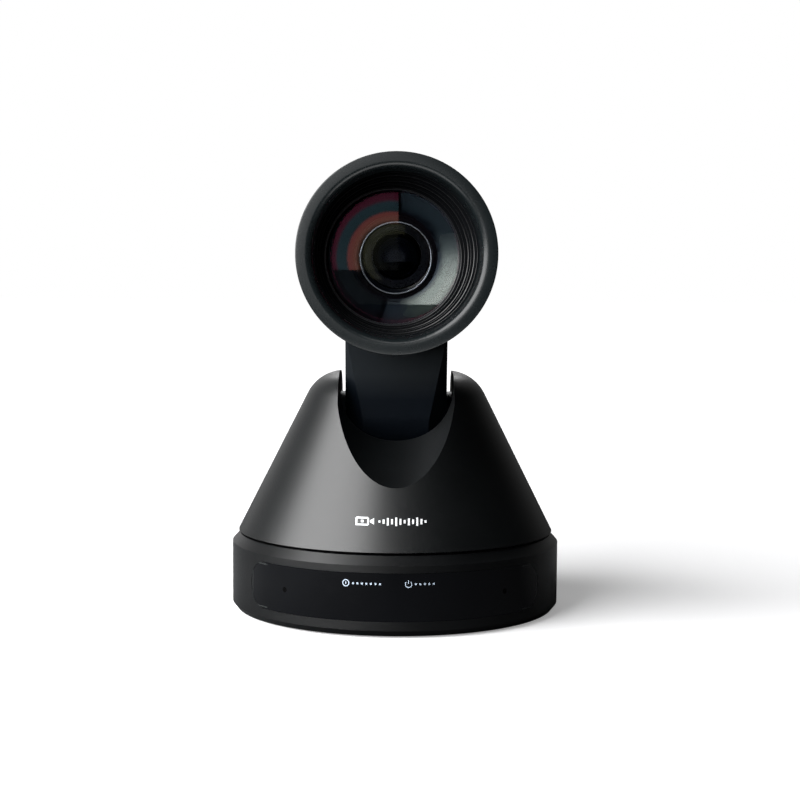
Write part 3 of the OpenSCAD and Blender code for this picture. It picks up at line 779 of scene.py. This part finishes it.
def wires(paths, radius, sides=8):
    """Round wires along paths that each keep one X, as corners and faces."""
    verts, faces = [], []
    for path in paths:
        start = len(verts)
        pts = [Vector(p) for p in path]
        for i, p in enumerate(pts):
            along = (pts[min(i + 1, len(pts) - 1)] - pts[max(i - 1, 0)]).normalized()
            across = Vector((1, 0, 0))
            up = along.cross(across)
            for k in range(sides):
                a = 2 * math.pi * k / sides
                verts.append(p + radius * (math.cos(a) * across + math.sin(a) * up))
        for i in range(len(pts) - 1):
            for k in range(sides):
                a, b = start + i * sides + k, start + i * sides + (k + 1) % sides
                faces.append((a, b, b + sides, a + sides))
        faces.append(tuple(range(start, start + sides))[::-1])
        faces.append(tuple(range(len(verts) - sides, len(verts))))
    return verts, faces


def lan_wires(x, back):
    """Eight spring contacts that slope down into the network socket."""
    bends = [(1.2, 15.7), (3.0, 15.4), (8.5, 12.3), (9.6, 11.2), (9.8, 10.2)]
    paths = [[(x + (i - 3.5) * 1.02 * MM, back - deep * MM, z * MM) for deep, z in bends]
             for i in range(8)]
    new_piece("lan_contacts", *wires(paths, 0.2 * MM), MATS["brass"], "base", "brass")


def port_block(x, back, left, right, deep, front, low, high):
    """A block in a socket: left and right from x, depths from the back, all in mm."""
    return ((x + left * MM, back - deep * MM, low * MM),
            (x + right * MM, back - front * MM, high * MM))


def port_details():
    """Contacts and tongues that can be seen inside the network, USB and video sockets."""
    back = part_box("lan_port")[1].y
    lan_wires(middle("lan_port").x, back)
    tongue = plastic("tongue_black", (0.006, 0.006, 0.007), 0.4, bump=0.04)
    x = middle("usb_port").x
    block = port_block(x, back, -3.0, 3.0, 9.0, 0.75, 11.1, 14.1)
    new_piece("usb_tongue", *bevelled([block], 0.25 * MM), tongue, "base", "port_black")
    strips = [port_block(x, back, i * 1.5 - 2.45, i * 1.5 - 2.05, 7.5, 1.3, low, low + 0.2)
              for low in (11.0, 14.0) for i in range(4)]
    x = middle("hdmi_port").x
    block = port_block(x, back, -5.3, 5.3, 8.3, 1.1, 8.5, 9.7)
    new_piece("hdmi_tongue", *bevelled([block], 0.2 * MM), tongue, "base", "port_black")
    strips += [port_block(x, back, i - 4.25, i - 4.0, 6.0, 1.6, 9.6, 9.8) for i in range(9)]
    new_piece("port_contacts", *bevelled(strips, 0.04 * MM), MATS["brass"], "base", "brass")


port_details()


# ---------- marks: plain pictograms, no lettering ----------
def pale_print(name, colour):
    """Slightly uneven pale ink."""
    s = Shader(name)
    s.set(Roughness=0.45)
    s.link(s.mix(s.spread(s.noise(500.0), 0.0, 1.0), colour, tuple(c * 0.88 for c in colour)),
           s.bsdf.inputs["Base Color"])
    return s.mat


def stroke(points, width):
    """A flat line of a given width through 2D points, as quads of 2D corners."""
    quads = []
    for (x0, y0), (x1, y1) in zip(points, points[1:]):
        dx, dy = x1 - x0, y1 - y0
        length = math.hypot(dx, dy) or 1.0
        ox, oy = -dy / length * width / 2, dx / length * width / 2
        quads.append([(x0 + ox, y0 + oy), (x1 + ox, y1 + oy), (x1 - ox, y1 - oy),
                      (x0 - ox, y0 - oy)])
    return quads


def arc(cx, cy, r, a0, a1, steps=20):
    """Points on an arc from a0 to a1 degrees."""
    turns = [math.radians(a0 + (a1 - a0) * k / steps) for k in range(steps + 1)]
    return [(cx + r * math.cos(a), cy + r * math.sin(a)) for a in turns]


def split(quad, limit=0.8):
    """Cuts a quad into lengths of about limit mm, so that it can bend round a surface."""
    a, b, c, d = [np.array(p, float) for p in quad]
    n = max(1, int(np.linalg.norm(b - a) / limit))
    out = []
    for k in range(n):
        t0, t1 = k / n, (k + 1) / n
        out.append([a + (b - a) * t0, a + (b - a) * t1, d + (c - d) * t1, d + (c - d) * t0])
    return out


DECAL_ROOT = 0.02  # mm that print reaches into the surface under it


def decal(name, quads, place, mat, body, thick=0.04):
    """Thin raised print: every quad becomes a solid, thick mm high, that follows a surface."""
    verts, faces = [], []
    for quad in quads:
        for q in split(quad):
            i = len(verts)
            for lift in (-DECAL_ROOT, thick):
                verts += [place(x, y, lift) for x, y in q]
            faces += [(i, i + 1, i + 2, i + 3), (i + 7, i + 6, i + 5, i + 4)]
            faces += [(i + k, i + 4 + k, i + 4 + (k + 1) % 4, i + (k + 1) % 4) for k in range(4)]
    me = bpy.data.meshes.new(name)
    me.from_pydata(verts, [], faces)
    me.validate()
    me.materials.append(mat)
    obj = bpy.data.objects.new(name, me)
    bpy.context.scene.collection.objects.link(obj)
    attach(obj, body)
    return obj


def on_window(x, y, lift):
    """x mm along the window from its middle, y mm up from its middle height."""
    r = WINDOW_R + lift * MM
    a = x * MM / WINDOW_R
    return r * math.sin(a), -r * math.cos(a), WINDOW_Z + y * MM


BADGE_Z = 37.9 * MM


def on_turret(x, y, lift):
    """x mm round the cone from its front, y mm up the slope from the badge's middle."""
    z = BADGE_Z + y * MM * math.cos(SLANT)
    r = CONE_R - CONE_SLOPE * (z - CONE_Z)
    a = x * MM / r
    out = lift * MM
    r += out * math.cos(SLANT)
    return r * math.sin(a), -r * math.cos(a), z + out * math.sin(SLANT)


def dots(x0, count, gap, y, size):
    """A row of square dots."""
    h = size / 2
    return [[(x - h, y - h), (x + h, y - h), (x + h, y + h), (x - h, y + h)]
            for x in (x0 + i * gap for i in range(count))]


def window_marks():
    """A standby and a power pictogram, each with a row of dots."""
    pale = pale_print("label_print", (0.50, 0.60, 0.72))
    y, line, icon_r, gap, size = 4.5, 0.3, 1.05, 1.5, 0.62
    x = -16.3
    standby = stroke(arc(x, y, icon_r, 0, 360), line)
    standby += stroke([(x, y - 0.45), (x, y + 0.45)], line)
    standby += dots(x + 2.5, 7, gap, y, size)
    x = 4.6
    power = stroke(arc(x, y, icon_r, 130, 410), line)
    power += stroke([(x, y + 0.2), (x, y + 1.3)], line)
    power += dots(x + 2.4, 5, gap, y, size)
    decal("window_marks", standby + power, on_window, pale, "base")


def turret_badge():
    """A camera pictogram and a row of sound-level bars."""
    white = pale_print("badge_print", (0.80, 0.82, 0.84))
    q = stroke([(-13.0, -1.2), (-13.0, 1.2), (-9.0, 1.2), (-9.0, -1.2), (-13.3, -1.2)], 0.6)
    q += [[(-8.4, -0.3), (-8.4, 0.3), (-7.0, 1.1), (-7.0, -1.1)]]
    q += dots(-11.0, 1, 1.0, 0.0, 0.9)
    heights = [0.7, 1.5, 2.6, 1.8, 3.0, 2.1, 1.2, 2.4, 1.6, 2.9, 1.9, 0.9]
    for i, h in enumerate(heights):
        x = -5.2 + i * 1.4
        q += stroke([(x, -h / 2), (x, h / 2)], 0.65)
    decal("turret_badge", q, on_turret, white, "turret")


def window_outline():
    """Fine raised line a little inside each rounded end of the window."""
    grey = plastic("window_edge_grey", (0.014, 0.016, 0.016), 0.34, bump=0.02)
    half = math.asin(window_hi.x / WINDOW_R) * WINDOW_R / MM - 0.9
    tall = (window_hi.z - window_lo.z) / 2 / MM - 0.6
    r, straight = 4.2, 9.0  # mm, corner radius and how far the line runs in from the end
    lines = []
    for side in (-1, 1):
        path = [(side * (half - straight), tall)]
        for degrees in range(90, -91, -10):
            a = math.radians(degrees)
            upper = (degrees > 0) - (degrees < 0)
            path.append((side * (half - r + r * math.cos(a)),
                         (tall - r) * upper + r * math.sin(a)))
        path.append((side * (half - straight), -tall))
        lines += stroke(path, 0.42)
    decal("window_outline", lines, on_window, grey, "base", thick=0.03)


MIC_R = 0.9  # mm
MIC_ANGLE = math.radians(39.0)
MIC_Y = -0.05  # mm up from the window's middle


def mic_marks():
    """Dark discs on the window in front of the two microphones: painted shade standing in for the
    dark insides of their pinholes.
    """
    # painted shade: a dark matt disc stands in for each pinhole
    dark = plastic("mic_hole_painted_shade", (0.0002, 0.0002, 0.0003), 0.9, bump=0.02, spec=0.05)
    for name, side in (("mic_hole_shade_left", -1), ("mic_hole_shade_right", 1)):
        x = side * MIC_ANGLE * WINDOW_R / MM
        rim = [(x + MIC_R * math.cos(a), MIC_Y + MIC_R * math.sin(a))
               for a in (k * math.pi / 8 for k in range(17))]
        disc = [[(x, MIC_Y), p, q, (x, MIC_Y)] for p, q in zip(rim, rim[1:])]
        decal(name, disc, on_window, dark, "base", thick=0.02)


window_marks()
window_outline()
turret_badge()
mic_marks()


# ---------- studio ----------
def stage_floor(size, mat):
    """A square floor that belongs to the studio."""
    h = size / 2
    me = bpy.data.meshes.new("floor")
    me.from_pydata([(-h, -h, 0), (h, -h, 0), (h, h, 0), (-h, h, 0)], [], [(0, 1, 2, 3)])
    me.materials.append(mat)
    obj = bpy.data.objects.new("floor", me)
    bpy.context.scene.collection.objects.link(obj)
    return obj


def floor_material():
    """Pale floor with painted light. The object sees it dark, with a painted pool of light near
    by that is brighter behind and to the left; the camera sees it glow, less so near the object.
    """
    s = Shader("pale_floor")
    s.set(Roughness=0.8, Specular_IOR_Level=0.0, Emission_Color=(1, 1, 1, 1))
    far = s.add("ShaderNodeVectorMath", operation="LENGTH")
    s.link(s.coords(), far.inputs[0])
    # painted light: for the object's rays the floor's colour is a painted pool, dark beyond 0.42
    # m, brighter behind and to the left
    near = s.spread(far.outputs["Value"], 1.0, 0.0, 0.08, 0.42)
    left = s.spread(s.axis("X"), 1.0, 0.0, -0.12, 0.0)
    back = s.spread(s.axis("Y"), 0.0, 1.0, -0.03, 0.08)
    painted_pool = s.mix(back, s.mix(left, (0.036, 0.037, 0.038), (0.15, 0.155, 0.16)),
                (0.25, 0.255, 0.26))
    seen = s.mix(near, (0.001, 0.001, 0.001), painted_pool)
    camera = s.add("ShaderNodeLightPath").outputs["Is Camera Ray"]
    s.link(s.mix(camera, seen, (0.8, 0.8, 0.81)), s.bsdf.inputs["Base Color"])
    # painted glow: for the camera the floor glows, at 0.3 close to the object and at full
    # strength from 1.2 m out
    lift = s.spread(far.outputs["Value"], 0.3, 1.0, 0.2, 1.2)
    glow = s.add("ShaderNodeMath", operation="MULTIPLY")
    s.link(camera, glow.inputs[0])
    s.link(lift, glow.inputs[1])
    s.link(glow.outputs[0], s.bsdf.inputs["Emission Strength"])
    return s.mat


def soft_light(name, at, aim, width, height, radiance, receivers):
    """A rectangular light of even brightness that reaches only its receivers."""
    data = bpy.data.lights.new(name, "AREA")
    data.shape = "RECTANGLE"
    data.size = width
    data.size_y = height
    data.energy = radiance * math.pi * width * height
    obj = bpy.data.objects.new(name, data)
    obj.location = at
    obj.rotation_euler = (Vector(aim) - Vector(at)).to_track_quat("-Z", "Y").to_euler()
    bpy.context.scene.collection.objects.link(obj)
    obj.light_linking.receiver_collection = receivers


def softbox(name, azimuth, distance, width, low, high, radiance, receivers):
    """An upright light panel round the object; azimuth 0 is in front, negative to the left."""
    a = math.radians(azimuth)
    z = (low + high) / 2
    at = (distance * math.sin(a), -distance * math.cos(a), z)
    soft_light(name, at, (0.0, 0.0, z), width, high - low, radiance, receivers)


def linked(name, pieces, state):
    """A set of pieces that a light reaches alone (INCLUDE) or leaves out (EXCLUDE)."""
    group = bpy.data.collections.new(name)
    for obj in pieces:
        group.objects.link(obj)
    for link in group.collection_objects:
        link.light_linking.link_state = state
    return group


def world():
    """White for the camera; for the object dark, with a glow behind and to the left."""
    w = bpy.data.worlds.new("studio")
    bpy.context.scene.world = w
    w.use_nodes = True
    t = w.node_tree
    bg = next(n for n in t.nodes if n.type == "BACKGROUND")
    path = t.nodes.new("ShaderNodeLightPath")
    place = t.nodes.new("ShaderNodeTexCoord")
    sep = t.nodes.new("ShaderNodeSeparateXYZ")
    t.links.new(place.outputs["Generated"], sep.inputs[0])

    def ramp(axis, start, end, low, high):
        n = t.nodes.new("ShaderNodeMapRange")
        values = {"From Min": start, "From Max": end, "To Min": low, "To Max": high}
        for key, value in values.items():
            n.inputs[key].default_value = value
        t.links.new(sep.outputs[axis], n.inputs["Value"])
        return n.outputs["Result"]

    back = t.nodes.new("ShaderNodeMath")
    back.operation = "MULTIPLY_ADD"
    t.links.new(ramp("Y", 0.45, 0.92, 0.0, 0.62), back.inputs[0])
    t.links.new(ramp("X", -0.3, 0.3, 1.0, 0.22), back.inputs[1])
    back.inputs[2].default_value = 0.003
    mix = t.nodes.new("ShaderNodeMix")
    mix.data_type = "RGBA"
    t.links.new(path.outputs["Is Camera Ray"], mix.inputs["Factor"])
    t.links.new(back.outputs[0], mix.inputs[6])
    mix.inputs[7].default_value = (1, 1, 1, 1)
    t.links.new(mix.outputs[2], bg.inputs["Color"])
    bg.inputs["Strength"].default_value = 1.0


floor = stage_floor(30.0, floor_material())
world()

lens_pieces = lens_glass + dish_pieces + zoom_pieces
off_lens = linked("all_but_lens", lens_pieces, "EXCLUDE")
on_glass = linked("lens_glass", lens_glass, "INCLUDE")
on_dish = linked("lens_dish_only", dish_pieces, "INCLUDE")
off_floor = linked("all_but_lens_and_floor", lens_pieces + [floor], "EXCLUDE")
on_zoom = linked("zoom_glass_only", zoom_pieces, "INCLUDE")
on_ring = linked("ring_only", ring_pieces, "INCLUDE")
BACK_NODES = ("head_barrel rear_cap neck_cover head_screws io_panel dc_jack serial_port"
              " usb_port hdmi_port lan_port")
on_back = linked("rear_pieces", [nodes[name] for name in BACK_NODES.split()], "INCLUDE")

# azimuth in degrees, then metres: distance, width, lower edge, upper edge; then radiance
GLASS_SHARE = 0.04 / GLASS_MIRROR  # so that the glass mirrors 4 % of the main lights
DISH_TOP = 1.7  # upper edge of the main lights as the dish sees them
for name, azimuth, distance, width, low, high, radiance in (
    ("key_softbox", -57.5, 1.1, 1.57, 0.07, 1.88, 9.2),
    ("front_softbox", -9.3, 1.2, 0.45, 0.07, 0.75, 1.8),
):
    softbox(name, azimuth, distance, width, low, high, radiance, off_lens)
    softbox(name + "_on_glass", azimuth, distance, width, low, high, radiance * GLASS_SHARE,
            on_glass)
    softbox(name + "_on_dish", azimuth, distance, width, low, DISH_TOP, radiance, on_dish)
softbox("zoom_fill", 0.0, 1.0, 3.0, 0.07, 2.0, 0.13, on_zoom)
softbox("zoom_glint", -25.0, 1.1, 0.3, 0.3, 0.7, 0.7, on_zoom)
ring_at = (0.0, -0.066, LENS_Z)
soft_light("table_glow", (0.0, -0.15, 0.004), ring_at, 0.24, 0.16, 3.0, on_ring)
soft_light("overhead_glow", (0.0, -0.80, 0.90), ring_at, 0.50, 0.30, 3.4, on_ring)
softbox("rear_softbox", 180.0, 1.3, 1.0, 0.75, 3.0, 6.0, off_floor)
softbox("right_fill", 125.0, 1.2, 1.0, 0.1, 1.3, 4.0, on_back)
softbox("left_fill", -125.0, 1.2, 1.0, 0.1, 1.3, 3.0, on_back)


# ---------- camera ----------
CAMERA_AT = (1.1 * MM, -564.2 * MM, 114.8 * MM)
PITCH, YAW, ROLL = math.radians(4.06), math.radians(0.03), math.radians(0.40)
forward = Vector((math.sin(YAW) * math.cos(PITCH), math.cos(YAW) * math.cos(PITCH),
                  -math.sin(PITCH)))
right = Vector((math.cos(YAW), -math.sin(YAW), 0))
up = right.cross(forward)
x_axis = right * math.cos(ROLL) + up * math.sin(ROLL)
y_axis = -right * math.sin(ROLL) + up * math.cos(ROLL)
cam_data = bpy.data.cameras.new("camera")
cam_data.lens = 70.02
cam_data.sensor_width = 36.0
cam_data.clip_start = 0.01
cam = bpy.data.objects.new("camera", cam_data)
turn = Matrix((x_axis, y_axis, -forward)).transposed().to_4x4()
cam.matrix_world = Matrix.Translation(CAMERA_AT) @ turn
bpy.context.scene.collection.objects.link(cam)
bpy.context.scene.camera = cam
bpy.context.scene.view_settings.view_transform = "Standard"
